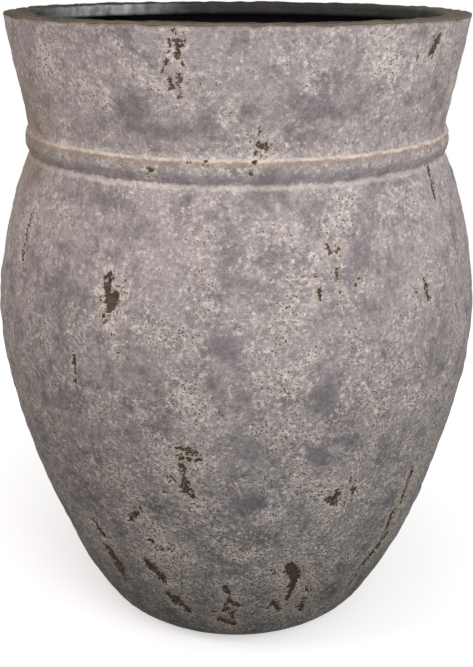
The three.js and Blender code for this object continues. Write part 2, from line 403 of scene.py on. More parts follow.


# %% [markdown]
# ## Where the coat has flaked
# Frost and knocks have lifted small flakes, mostly in runs that follow the drips of the wash down the side.
# Each run is a stroke between two places on the jar, with a width and a bareness: under 1 it is broken up
# into crumbs, and over 1 it is solid. A place is an angle round the axis, in degrees from the front and
# growing to the right, and a height. The runs on the side that is seen are listed one by one, and a seeded
# scatter of similar runs covers the rest.

# %% Runs of flakes: angle and height of both ends, width in millimetres, bareness
COLLAR_FLAKES = [
    (-13, 716, -13, 714, 2, 0.7), (-13.5, 707, -14, 700, 3, 0.9), (-12, 705, -12, 692, 5, 0.95),
    (-12, 692, -11.5, 682, 3, 1.0), (-14.5, 688, -15.5, 678, 3, 0.9), (-12, 674, -12, 669, 4, 0.95),
    (-15, 672, -15, 671, 2, 0.9), (-14, 673, -14, 671, 2, 0.9), (-14.5, 664, -13.5, 664, 4, 0.9),
    (-12, 660, -12, 655, 3, 0.9), (-10, 679, -10, 678, 2, 0.8), (-10, 670, -10, 671, 2, 0.9),
    (-8, 665, -8, 664, 2, 0.9), (51.5, 706, 50.5, 699, 4, 1.0), (50.5, 699, 49.5, 691, 7, 1.2),
    (44, 688, 44, 684, 3, 1.0),
]
NECK_FLAKES = [
    (5, 624, 5, 616, 5, 0.7), (5, 613, 7, 609, 7, 0.9), (4, 604, 4, 603, 3, 1.0), (4, 596, 4, 595, 2, 1.3),
    (3, 586, 3, 584, 3, 1.2), (-11, 595, -11, 594, 3, 1.3), (-7, 596, -7, 595, 3, 1.3),
    (-7, 601, -7, 600, 2, 1.1), (-21, 582, -20, 585, 4, 0.8), (54, 594, 60, 574, 4, 0.6),
    (57, 570, 56, 539, 5, 0.8),
]
BELLY_FLAKES = [
    (-57, 524, -57, 473, 5, 0.7), (-28, 487, -28, 465, 5, 1.3), (-26, 467, -27, 454, 7, 1.5),
    (-28, 466, -27, 458, 5, 1.4), (-28, 446, -29, 443, 3, 1.1), (-28, 441, -28, 440, 3, 1.1),
    (-26, 428, -26, 426, 3, 0.8), (-25, 414, -25, 412, 3, 0.7), (-24, 484, -24, 483, 3, 0.9),
    (-36, 401, -36, 369, 2, 0.85), (19, 515, 22, 512, 5, 0.8), (20, 508, 20, 499, 3, 0.7),
    (21, 494, 21, 484, 4, 0.8), (22, 475, 22, 471, 3, 0.8), (16, 494, 16, 490, 3, 0.7),
    (17, 480, 17, 470, 3, 0.8), (26, 482, 25, 478, 3, 0.6), (45, 468, 46, 449, 6, 0.9),
    (40, 470, 43, 446, 5, 0.5),
]
LOWER_FLAKES = [
    (-12, 317, -8, 313, 5, 0.9), (-12, 306, -8, 303, 5, 0.9), (-12, 296, -11, 272, 6, 0.9),
    (-12, 271, -10, 255, 7, 1.0), (-15, 277, -14, 275, 6, 0.8), (-16, 259, -16, 258, 5, 0.7),
    (-25, 220, -27, 209, 6, 1.0), (-24, 230, -23, 226, 4, 0.7), (-42, 182, -39, 160, 5, 1.0),
    (-40, 142, -38, 109, 12, 1.1), (-38, 105, -38, 84, 5, 0.8), (-23, 184, -20, 170, 3, 1.0),
    (-18, 172, -17, 171, 4, 0.9), (-26, 145, -22, 120, 9, 1.1), (-22, 96, -20, 82, 7, 1.0),
    (-19, 93, -16, 68, 7, 0.9), (22, 243, 24, 236, 7, 1.0), (24, 254, 24, 246, 5, 0.9),
    (27, 264, 28, 257, 4, 0.9), (28, 251, 29, 246, 5, 0.8), (26, 231, 28, 235, 5, 0.7),
    (49, 244, 51, 190, 7, 0.8), (48, 186, 48, 148, 8, 0.8), (49, 144, 43, 108, 8, 1.0),
]
FOOT_FLAKES = [
    (-3, 120, -2, 110, 6, 1.0), (-2, 97, 1, 87, 6, 0.9), (-3, 89, -3, 75, 6, 0.9), (-7, 74, -4, 73, 5, 0.8),
    (-5, 58, -1, 50, 9, 1.0), (-1, 75, -1, 63, 6, 0.9), (15, 148, 17, 133, 12, 1.4),
    (18, 131, 16, 114, 7, 1.3), (17, 114, 16, 92, 5, 1.1), (10, 145, 11, 141, 5, 0.9),
    (21, 109, 23, 97, 6, 0.7), (22, 87, 23, 61, 7, 0.9), (10, 80, 11, 86, 5, 0.8), (12, 90, 14, 73, 7, 0.9),
    (43, 93, 41, 70, 5, 0.8),
]


def scattered_flakes(count, seed):
    """Runs like those at the front, for the sides and the back."""
    chance = np.random.RandomState(seed)
    runs = []
    for _ in range(count):
        angle = chance.uniform(66, 294)
        top = chance.choice((chance.uniform(60, 320), chance.uniform(380, 715)))
        for _ in range(chance.randint(2, 6)):
            drop = chance.uniform(1, 14)
            side = chance.uniform(-1, 1)
            width = chance.uniform(3, 9)
            runs.append((angle, top, angle + side, max(top - drop, 30), width, chance.uniform(0.6, 1.2)))
            angle += chance.uniform(-3, 3)
            top = max(top - drop - chance.uniform(0, 14), 34)
    return runs


seen_flakes = COLLAR_FLAKES + NECK_FLAKES + BELLY_FLAKES + LOWER_FLAKES + FOOT_FLAKES
flake_runs = seen_flakes + scattered_flakes(34, seed=7)
print("runs of flakes:", len(seen_flakes), "seen and", len(flake_runs) - len(seen_flakes), "scattered")


# %% [markdown]
# ## Marking the flakes on the mesh
# The runs become one number at each corner of the mesh: 1 in the middle of a run, then a low skirt in which
# only crumbs have come away, and 0 beyond it and on the back of the coat. It is kept as an attribute, so
# that Geometry Nodes can sink the surface and the shader can colour it from the same number.

# %% Mark the runs
MIDDLE_RISE, MIDDLE_FALL = 1.4, 1.5
CRUMBS, CRUMB_RISE, CRUMB_FALL = 0.36, 1.3, 0.6


def on_jar(angle, height):
    radius = np.interp(height, jar_line[:, 1], jar_line[:, 0])
    turn = math.radians(angle)
    return np.array((radius * math.sin(turn), -radius * math.cos(turn), height)) / 1000


def places_on(piece):
    places = np.empty(len(piece.data.vertices) * 3)
    piece.data.vertices.foreach_get("co", places)
    return places.reshape(-1, 3)


def run_distance(places, run):
    """How far each place is from the middle line of a run, in millimetres."""
    a, b = on_jar(*run[0:2]), on_jar(*run[2:4])
    reach = b - a
    step = np.clip((places - a) @ reach / max(reach @ reach, 1e-9), 0, 1)
    return np.linalg.norm(places - a - step[:, None] * reach, axis=1) * 1000


def mark_flakes(piece, runs):
    places = places_on(piece)
    bare = np.zeros(len(places))
    for run in runs:
        width, share = run[4:]
        distance = run_distance(places, run)
        middle = np.clip(MIDDLE_RISE - MIDDLE_FALL * distance / width, 0, 1)
        crumbs = CRUMBS * np.clip(CRUMB_RISE - CRUMB_FALL * distance / width, 0, 1)
        bare = np.maximum(bare, share * np.maximum(middle, crumbs))
    outer_radius = np.interp(places[:, 2] * 1000, jar_line[:, 1], jar_line[:, 0])
    behind = np.hypot(places[:, 0], places[:, 1]) * 1000 < outer_radius - COAT / 2
    bare[behind] = 0
    piece.data.attributes.new("bare", "FLOAT", "POINT").data.foreach_set("value", bare)
    print(piece.name, "marked bare on", int((bare > 0.3).sum()), "points")


# %% [markdown]
# ## Where the wash stands thick
# The wash went on unevenly. Some places were rubbed thin and dark, and others stand thick and pale, always
# so round the flakes. The largest of the places that are seen are listed, and a seeded scatter covers the
# sides and the back. They become a second attribute, from -1 for rubbed to 1 for thick, which the shader
# adds to its noise. The noise still decides the shapes, so no cloud has a round edge. The pale skirt round
# a flake reaches a few times the width of its run.

# %% Thick and rubbed places: angle, height, half width and half height in millimetres, thickness
CLOUDS = [
    (-23, 642, 14, 16, -1.0), (-20, 624, 24, 6, -1.0), (-7, 626, 16, 7, -0.8), (3, 644, 8, 8, -1.0),
    (17, 643, 18, 12, -0.5), (13, 618, 14, 8, -0.4), (44, 645, 8, 20, -1.0), (-52, 635, 12, 14, -0.8),
    (-38, 659, 14, 26, 1.0), (32, 692, 22, 18, 1.0), (-2, 642, 8, 14, 0.8), (-50, 690, 20, 18, 0.8),
    (-33, 556, 24, 10, -0.6), (5, 564, 10, 12, -1.0), (-1, 425, 15, 12, -0.8), (27, 503, 16, 10, -0.9),
    (-16, 362, 24, 14, -0.3), (18, 375, 14, 24, -0.8), (-41, 452, 18, 24, -0.5), (15, 418, 10, 8, 1.0),
    (10, 531, 16, 10, 0.6), (11, 393, 24, 18, 0.6), (41, 342, 12, 18, 0.6), (18, 298, 16, 18, -1.0),
    (4, 321, 16, 16, -1.0), (3, 251, 12, 12, -1.0), (-37, 278, 10, 10, -0.3), (25, 316, 10, 8, -0.7),
    (-38, 110, 24, 36, -0.7), (-6, 192, 24, 20, 0.6), (-16, 309, 16, 14, 1.0), (8, 232, 16, 14, 1.0),
    (1, 172, 22, 8, 1.0), (-8, 352, 14, 26, 1.0), (21, 252, 16, 20, 0.8), (-20, 190, 14, 20, 0.8),
    (-2, 100, 16, 18, 0.8), (17, 105, 14, 22, 0.8), (-48, 664, 16, 22, 0.8), (-27, 690, 16, 14, 0.7),
]
SKIRT_REACH, SKIRT_THICKNESS = 4, 0.8


def scattered_clouds(count, seed):
    chance = np.random.RandomState(seed)
    return [(chance.uniform(62, 298), chance.uniform(60, 700), chance.uniform(8, 26), chance.uniform(8, 24),
             chance.choice((-1.0, -0.7, 0.7, 1.0))) for _ in range(count)]


def mark_thickness(piece, clouds, runs):
    places = places_on(piece)
    thick = np.zeros(len(places))
    for run in runs:
        skirt = np.clip(1 - run_distance(places, run) / (SKIRT_REACH * run[4]), 0, 1)
        thick = np.maximum(thick, SKIRT_THICKNESS * min(run[5], 1.0) * skirt)
    for angle, height, half_width, half_height, amount in clouds:
        off = (places - on_jar(angle, height)) * 1000
        level = np.hypot(off[:, 0], off[:, 1]) / half_width
        thick += amount * np.exp(-level ** 2 - (off[:, 2] / half_height) ** 2)
    thick = np.clip(thick, -1, 1)
    piece.data.attributes.new("thick", "FLOAT", "POINT").data.foreach_set("value", thick)
    print(piece.name, "marked thick on", int((thick > 0.3).sum()), "points, rubbed on",
          int((thick < -0.3).sum()))


# %% [markdown]
# ## Hand-laid unevenness
# Nothing on the real pot is quite true. A second tree bends the space that a piece stands in by a slow
# wobble, which is the same for every piece, so that neighbours stay together. It then raises small lumps
# away from the axis and sinks the flakes towards it, by most of the coat's thickness. Lumps along the
# normal would push the two faces of the thin coat through each other, because their normals are opposite.
# At the rim they also raise and lower its top, so that its line isn't ruled. The tree first stores where
# each point was, so that the shader can read its patterns from the same places and its ragged flake edges
# fall on the sunken ones. The wobble is mostly sideways, because the rim was levelled, and fades out near
# the ground, so that the foot stays flat.

# %% The weathering tree
FLAKE_EDGE_SIZE, FLAKE_EDGE_SEED, FLAKE_DEPTH = 3.4, 3.0, 0.0018
HAND_LAID = {"Wobble": 0.006, "Wobble size": 0.13, "Lump size": 0.018, "Flake depth": 0.0}


def ragged_flake(tree, rest, bare):
    """How bare a place is, with noise in it that breaks up the edges, and the mask of the flake itself."""
    edge = node(tree, "ShaderNodeTexNoise", {"Vector": rest, "W": FLAKE_EDGE_SEED,
                                             "Scale": per_metre(FLAKE_EDGE_SIZE), "Detail": 2.0,
                                             "Roughness": 0.65}, **SEEDED)
    ragged = node(tree, "ShaderNodeMath", {0: edge, 1: 3.0, 2: -1.5}, operation="MULTIPLY_ADD")
    inside = node(tree, "ShaderNodeMapRange", {"Value": bare, "From Max": 0.15})
    level = node(tree, "ShaderNodeMath", {0: ragged, 1: inside, 2: bare}, operation="MULTIPLY_ADD")
    flake = node(tree, "ShaderNodeMapRange", {"Value": level, "From": (0.42, 0.7)}, **SMOOTH)
    return level, flake


def weather_tree():
    tree = new_tree("Weather by hand", [
        ("Wobble", "Float"), ("Wobble size", "Float"), ("Lumps", "Float"), ("Lump size", "Float"),
        ("Flake depth", "Float"), ("Finish", "Material")])
    given = node(tree, "NodeGroupInput")
    place = node(tree, "GeometryNodeInputPosition")
    kept = node(tree, "GeometryNodeStoreNamedAttribute", {"Geometry": given.outputs["Geometry"],
                                                          "Name": "rest", "Value": place},
                data_type="FLOAT_VECTOR", domain="POINT")
    height = node(tree, "ShaderNodeSeparateXYZ", {0: place})
    fade = node(tree, "ShaderNodeMapRange", {"Value": height.outputs["Z"], "From": (0.004, 0.05)}, **SMOOTH)
    slow = node(tree, "ShaderNodeMath", {0: 1.0, 1: given.outputs["Wobble size"]}, operation="DIVIDE")
    bend = node(tree, "ShaderNodeTexNoise", {"Vector": place, "W": 5.0, "Scale": slow, "Detail": 1.0},
                **SEEDED)
    about_zero = node(tree, "ShaderNodeVectorMath", {0: bend.outputs["Color"], 1: (0.5, 0.5, 0.5)},
                      operation="SUBTRACT")
    amount = node(tree, "ShaderNodeMath", {0: fade, 1: given.outputs["Wobble"]}, operation="MULTIPLY")
    mostly_level = node(tree, "ShaderNodeVectorMath", {0: about_zero, 1: (1.0, 1.0, 0.3)},
                        operation="MULTIPLY")
    warp = node(tree, "ShaderNodeVectorMath", {0: mostly_level, "Scale": amount}, operation="SCALE")

    quick = node(tree, "ShaderNodeMath", {0: 1.0, 1: given.outputs["Lump size"]}, operation="DIVIDE")
    lumps = node(tree, "ShaderNodeTexNoise", {"Vector": place, "W": 12.0, "Scale": quick, "Detail": 2.0},
                 **SEEDED)
    lump = node(tree, "ShaderNodeMath", {0: lumps, 1: 0.5}, operation="SUBTRACT")
    height_of_lump = node(tree, "ShaderNodeMath", {0: given.outputs["Lumps"], 1: fade},
                          operation="MULTIPLY")
    shift = node(tree, "ShaderNodeMath", {0: lump, 1: height_of_lump}, operation="MULTIPLY")

    bare = node(tree, "GeometryNodeInputNamedAttribute", {"Name": "bare"}, data_type="FLOAT")
    flake = ragged_flake(tree, place, bare)[1]
    sunk = node(tree, "ShaderNodeMath", {0: flake, 1: given.outputs["Flake depth"]}, operation="MULTIPLY")
    shift = node(tree, "ShaderNodeMath", {0: shift, 1: sunk}, operation="SUBTRACT")

    level_part = node(tree, "ShaderNodeVectorMath", {0: place, 1: (1.0, 1.0, 0.0)}, operation="MULTIPLY")
    outward = node(tree, "ShaderNodeVectorMath", {0: level_part}, operation="NORMALIZE")
    at_rim = node(tree, "ShaderNodeMapRange", {"Value": height.outputs["Z"], "From": (0.7, 0.715)})
    upward = node(tree, "ShaderNodeCombineXYZ", {2: at_rim})
    direction = node(tree, "ShaderNodeVectorMath", {0: outward, 1: upward}, operation="ADD")
    lumpy = node(tree, "ShaderNodeVectorMath", {0: direction, "Scale": shift}, operation="SCALE")
    offset = node(tree, "ShaderNodeVectorMath", {0: lumpy, 1: warp}, operation="ADD")
    moved = node(tree, "GeometryNodeSetPosition", {"Geometry": kept, "Offset": offset})
    end_tree(tree, moved, given.outputs["Finish"])
    return tree


weather = weather_tree()


# %% [markdown]
# ## The stone wash
# The coat is a mineral wash, dabbed by hand over a dark ground. From afar it is a soft mauve grey. Nearer,
# it has smooth darker patches where it was rubbed, pale cream flecks where it stands thick, a sandy grain
# and small brown pits. A photograph could be wrapped round the jar instead, but it would show a seam and
# blur close up. So each layer is a noise with a size in millimetres, made into a mask and mixed over the
# layer before. The noises and the colours are listed first. A colour is a pair, for high up and low down,
# and the low one is darker and more like slate, so the jar gets darker towards the ground. The first
# layer is the ground with its rubbed patches, which a slow drift gathers.

# %% Noises, colours and ground of the wash
WASH_NOISES = {
    # seed, size in millimetres, detail, roughness
    "patches": (1.0, 20, 4.0, 0.7), "drift": (8.0, 70, 1.0, 0.5), "crowd": (6.0, 42, 3.0, 0.6),
    "heaps": (4.0, 3.8, 2.0, 0.65), "sand": (2.0, 4.4, 4.0, 0.9), "dabs": (9.0, 9, 4.0, 0.75),
}
WASH_TONES = {
    # high up, low down
    "open": ("#aaa0a0", "#747373"), "rubbed": ("#8a8183", "#57575b"), "cream": ("#dcd2ca", "#bcb4ad"),
    "pit": ("#5c4e43", "#2b221c"), "dark core": ("#3f352e", "#1e1814"), "pale core": ("#6b5e54", "#473c34"),
}


def wash_ground(tree, noise, tone, thick):
    thinned = weighted(tree, noise["patches"], (noise["drift"], 0.4), (thick, -0.2))
    rubbed = node(tree, "ShaderNodeMapRange", {"Value": thinned, "From": (0.64, 0.88)}, **SMOOTH)
    return node(tree, "ShaderNodeMix", {0: rubbed, 6: tone["open"], 7: tone["rubbed"]}, **COLOUR), rubbed


# %% [markdown]
# ## Cream flecks and sandy grain
# Where the wash stands thick it dries in pale flecks of 2 to 5 mm. They come in crowds, so a slow noise
# raises their odds, and rubbing lowers them. Near the ground and on the collar the crowds are thicker. Over
# all lies the grain of the sand in the wash, which multiplies the colour, so that flecks and ground are
# equally sandy. Rubbing calms it too.

# %% Flecks and grain
def crowded(tree, noise, thick, rubbed, near_ground):
    low = weighted(tree, noise["crowd"], (thick, 0.24), (rubbed, -0.14), (near_ground, 0.12))
    on_collar = node(tree, "ShaderNodeMapRange", {"Value": near_ground, "From": (-0.2, -0.3), "To Max": 0.05})
    return node(tree, "ShaderNodeMath", {0: low, 1: on_collar}, operation="ADD")


def cream_flecks(tree, noise, tone, colour, odds):
    heaped = weighted(tree, noise["heaps"], (odds, 0.5))
    fleck = node(tree, "ShaderNodeMapRange", {"Value": heaped, "From": (0.71, 0.99), "To Max": 0.9},
                 **SMOOTH)
    return node(tree, "ShaderNodeMix", {0: fleck, 6: colour, 7: tone["cream"]}, **COLOUR), fleck


def sandy_grain(tree, noise, colour, rubbed, near_ground):
    calm = node(tree, "ShaderNodeMapRange", {"Value": rubbed, "To": (2.5, 2.25)})
    harsh = node(tree, "ShaderNodeMapRange", {"Value": near_ground, "To": (1.0, 1.6)})
    contrast = node(tree, "ShaderNodeMath", {0: calm, 1: harsh}, operation="MULTIPLY")
    about_zero = node(tree, "ShaderNodeMath", {0: noise["sand"], 1: 0.5}, operation="SUBTRACT")
    grain = node(tree, "ShaderNodeMath", {0: about_zero, 1: contrast, 2: 1.0}, operation="MULTIPLY_ADD")
    return node(tree, "ShaderNodeMix", {0: 1.0, 6: colour, 7: grain}, **COLOUR, blend_type="MULTIPLY")


# %% [markdown]
# ## Brown pits
# Where air was caught in the wash it has pits of 1 to 2 mm with a cream edge, mostly in the same crowds as
# the flecks. The top of a noise would join crowded pits into worms, so they come from the cells of a
# Voronoi texture: each cell can hold one pit at its middle. One random value of the cell, with the odds,
# decides whether it is there, and another decides how large it is. Low down they are more and larger. The
# cream edge reaches a little further from the middle of the cell, so that it always surrounds the pit.

# %% Pits
PIT_EDGE, PIT_MIDDLE = (0.0, 0.3), (-0.13, 0.0)


def brown_pits(tree, noise, tone, rest, thick, colour, odds, near_ground):
    wide = node(tree, "ShaderNodeVectorMath", {0: rest, 1: (1.0, 1.0, 1.3)}, operation="MULTIPLY")
    cells = node(tree, "ShaderNodeTexVoronoi", {"Vector": wide, "Scale": per_metre(3.2)})
    random = node(tree, "ShaderNodeSeparateColor", {0: cells.outputs["Color"]})
    likely = weighted(tree, -0.3, (odds, 1.6), (thick, -0.2), (near_ground, 0.16),
                      (random.outputs["Red"], 0.5))
    there = node(tree, "ShaderNodeMapRange", {"Value": likely, "From": (0.88, 0.96)})
    ragged = weighted(tree, cells.outputs["Distance"], (random.outputs["Green"], -0.24), (near_ground, -0.07),
                      (noise["sand"], -0.5))
    for reach, strength, tint in ((PIT_EDGE, 0.4, paint("#cbbfb2")), (PIT_MIDDLE, 0.85, tone["pit"])):
        near = node(tree, "ShaderNodeMapRange", {"Value": ragged, "From": reach, "To": (strength, 0.0)},
                    **SMOOTH)
        mask = node(tree, "ShaderNodeMath", {0: near, 1: there}, operation="MULTIPLY")
        colour = node(tree, "ShaderNodeMix", {0: mask, 6: colour, 7: tint}, **COLOUR)
    return colour, mask


# %% [markdown]
# ## Wear, painted light and shade on the bead, the rim and the foot
# The top of the bead is a thin broken cream line, partly worn by hands and rain and partly a painted
# highlight where the light from above falls, with tan dirt just under it. The lower face of the bead is a
# little bluer than the jar and painted darker, as shade where it faces down. Painted shade darkens the
# groove under it, and the ledge below the groove has pale dust with a painted highlight. Handling has
# browned the top edge of the coat under the rim, and the foot is darker. Each is a band of heights: how
# far a point is from the middle of the band gives the mask, and a little noise on the height keeps the
# band from looking ruled.

# %% Bands of wear, painted light and shade
WEAR_AND_LIGHT_BANDS = [
    # height of the middle and half width in millimetres, colour, strength, how much of it is broken away
    # Painted: a highlight in the 597 line, shade at 580 and in the 574.6 groove, a highlight in the 570.4
    # dust
    (580.0, 6.0, "#7d777b", 0.5, 0.3), (597.0, 2.5, "#e4d3c0", 1.0, 0.7), (593.5, 3.2, "#a18b78", 0.75, 0.7),
    (574.6, 1.8, "#686164", 0.3, 0.4), (570.4, 3.2, "#d9cec4", 0.6, 0.6), (719.0, 4.0, "#85766a", 0.9, 0.35),
    (40.0, 110.0, "#4c4845", 0.4, 0.4),
]
BROWN_MIDDLE = (-0.226, -0.07, 0.595)


def wear_and_light_bands(tree, noise, rest, height, colour):
    dabs = noise["dabs"]
    waver = node(tree, "ShaderNodeMath", {0: dabs, 1: 0.008, 2: -0.004}, operation="MULTIPLY_ADD")
    uneven = node(tree, "ShaderNodeMath", {0: height, 1: waver}, operation="ADD")
    for middle, half, tint, strength, broken in WEAR_AND_LIGHT_BANDS:
        past = node(tree, "ShaderNodeMath", {0: uneven, 1: middle / 1000}, operation="SUBTRACT")
        off = node(tree, "ShaderNodeMath", {0: past}, operation="ABSOLUTE")
        band = node(tree, "ShaderNodeMapRange", {"Value": off, "From": (half / 4000, half / 1000),
                                                 "To": (strength, 0.0)}, **SMOOTH)
        left = node(tree, "ShaderNodeMapRange", {"Value": dabs, "From": (0.4, 0.6),
                                                 "To": (1 - broken, 1.0)})
        mask = node(tree, "ShaderNodeMath", {0: band, 1: left}, operation="MULTIPLY")
        colour = node(tree, "ShaderNodeMix", {0: mask, 6: colour, 7: paint(tint)}, **COLOUR)

    # One place on the left side of the bead is painted browner, broken up by the dabs
    away = node(tree, "ShaderNodeVectorMath", {0: rest, 1: BROWN_MIDDLE},
                operation="DISTANCE").outputs["Value"]
    near_brown = node(tree, "ShaderNodeMapRange", {"Value": away, "From": (0.02, 0.12), "To": (0.75, 0.0)},
                   **SMOOTH)
    in_dabs = node(tree, "ShaderNodeMapRange", {"Value": dabs, "From": (0.35, 0.6), "To Min": 0.3})
    brown_patch = node(tree, "ShaderNodeMath", {0: near_brown, 1: in_dabs}, operation="MULTIPLY")
    return node(tree, "ShaderNodeMix", {0: brown_patch, 6: colour, 7: paint("#8f7d6b")}, **COLOUR)


# %% [markdown]
# ## Bared flakes
# A flake has a pale broken edge, where the thickness of the wash shows, and then the dark brown core. The
# ragged edge comes from the same function as in the weathering tree, so colour and hollow have the same
# outline.

# %% Flakes in the wash
def bared_flakes(tree, noise, tone, rest, bare, colour):
    level, flake = ragged_flake(tree, rest, bare)
    rim = node(tree, "ShaderNodeMapRange", {"Value": level, "From": (0.1, 0.5), "To Max": 0.55}, **SMOOTH)
    broken = node(tree, "ShaderNodeMix", {0: rim, 6: colour, 7: paint("#cbbba8")}, **COLOUR)
    mottle = node(tree, "ShaderNodeMapRange", {"Value": noise["sand"], "From": (0.4, 0.6)})
    core = node(tree, "ShaderNodeMix", {0: mottle, 6: tone["dark core"], 7: tone["pale core"]}, **COLOUR)
    return node(tree, "ShaderNodeMix", {0: flake, 6: broken, 7: core}, **COLOUR), flake


# %% [markdown]
# ## The layers together
# The pale wash stands up, and pits and flakes lie low, so the same masks that colour the coat also drive
# its bump. Dry stone is rough and hardly shines.

# %% The stone wash finish
def stone_wash_finish():
    finish, tree = new_finish("weathered stone wash")
    rest = node(tree, "ShaderNodeAttribute", attribute_name="rest").outputs["Vector"]
    bare = node(tree, "ShaderNodeAttribute", attribute_name="bare").outputs["Fac"]
    thick = node(tree, "ShaderNodeAttribute", attribute_name="thick").outputs["Fac"]
    height = node(tree, "ShaderNodeSeparateXYZ", {0: rest}).outputs["Z"]
    # Grows from 0 at 0.5 m to 1 at 60 mm, and mixes in the darker, more slate-like low colours
    near_ground = node(tree, "ShaderNodeMapRange", {"Value": height, "From": (0.06, 0.5), "To": (1.0, 0.0)},
                    clamp=False)
    noise, tone = {}, {}
    for name, (seed, size, detail, roughness) in WASH_NOISES.items():
        noise[name] = node(tree, "ShaderNodeTexNoise", {"Vector": rest, "W": seed, "Scale": per_metre(size),
                                                        "Detail": detail, "Roughness": roughness}, **SEEDED)
    for name, (high, low) in WASH_TONES.items():
        tone[name] = node(tree, "ShaderNodeMix", {0: near_ground, 6: paint(high), 7: paint(low)}, **COLOUR)
    colour, rubbed = wash_ground(tree, noise, tone, thick)
    odds = crowded(tree, noise, thick, rubbed, near_ground)
    colour, fleck = cream_flecks(tree, noise, tone, colour, odds)
    colour = sandy_grain(tree, noise, colour, rubbed, near_ground)
    colour, pit = brown_pits(tree, noise, tone, rest, thick, colour, odds, near_ground)
    colour = wear_and_light_bands(tree, noise, rest, height, colour)
    colour, flake = bared_flakes(tree, noise, tone, rest, bare, colour)
    relief = weighted(tree, noise["sand"], (fleck, 0.4), (pit, -0.7), (flake, -0.8))
    dry = {"Base Color": colour, "Roughness": 0.9, "Specular IOR Level": 0.25}
    end_finish(tree, dry, relief, strength=0.6, depth=0.0012)
    return finish


stone_wash = stone_wash_finish()
print(stone_wash.name, "has", len(stone_wash.node_tree.nodes), "nodes")

# %% [markdown]
# ## The coat
# The coat is turned first, then the flakes are marked on its mesh, and then the weathering tree moves its
# points. Its columns and rows make faces about 4 mm square, fine enough for the flakes and under 200,000
# triangles.

# %% Make the coat
coat = turned_piece("weathered_coat", coat_loop, COAT_COLUMNS, stone_wash)
mark_flakes(coat, flake_runs)
mark_thickness(coat, CLOUDS + scattered_clouds(60, seed=3), flake_runs)
run_tree(weather, coat, {**HAND_LAID, "Lumps": 0.005, "Flake depth": FLAKE_DEPTH, "Finish": stone_wash})
print("coat spans", [round(side * 1000) for side in coat.dimensions], "mm")

# %% [markdown]
# ## Bare fibre cement
# The core shows as a dark, slightly olive lip. Its top is rubbed, painted lighter towards the right as
# painted light and darker on the far side as painted shade, and its outer edge is worn pale at the front.
# The inner face of the lip has upright strokes of the black coat, with pale bluish streaks on the left
# that are a painted sheen, standing in for the light reflected in the coat. Below the lip's inner face
# the colour turns black, partly the coat and partly painted shade. The strokes are noise that is fine
# round the axis and stretched along the height, which needs the angle round the axis as a coordinate.
# The limits below are in metres, and angles in radians.

# %% The fibre cement finish
LIP_FACE = (0.2255, 0.2275)
LIP_EDGE = (0.2505, 0.253)
LIP_UNDERSIDE = (0.7035, 0.7085)
LIP_ZONE = 0.6
SHEEN_ANGLE = -0.86


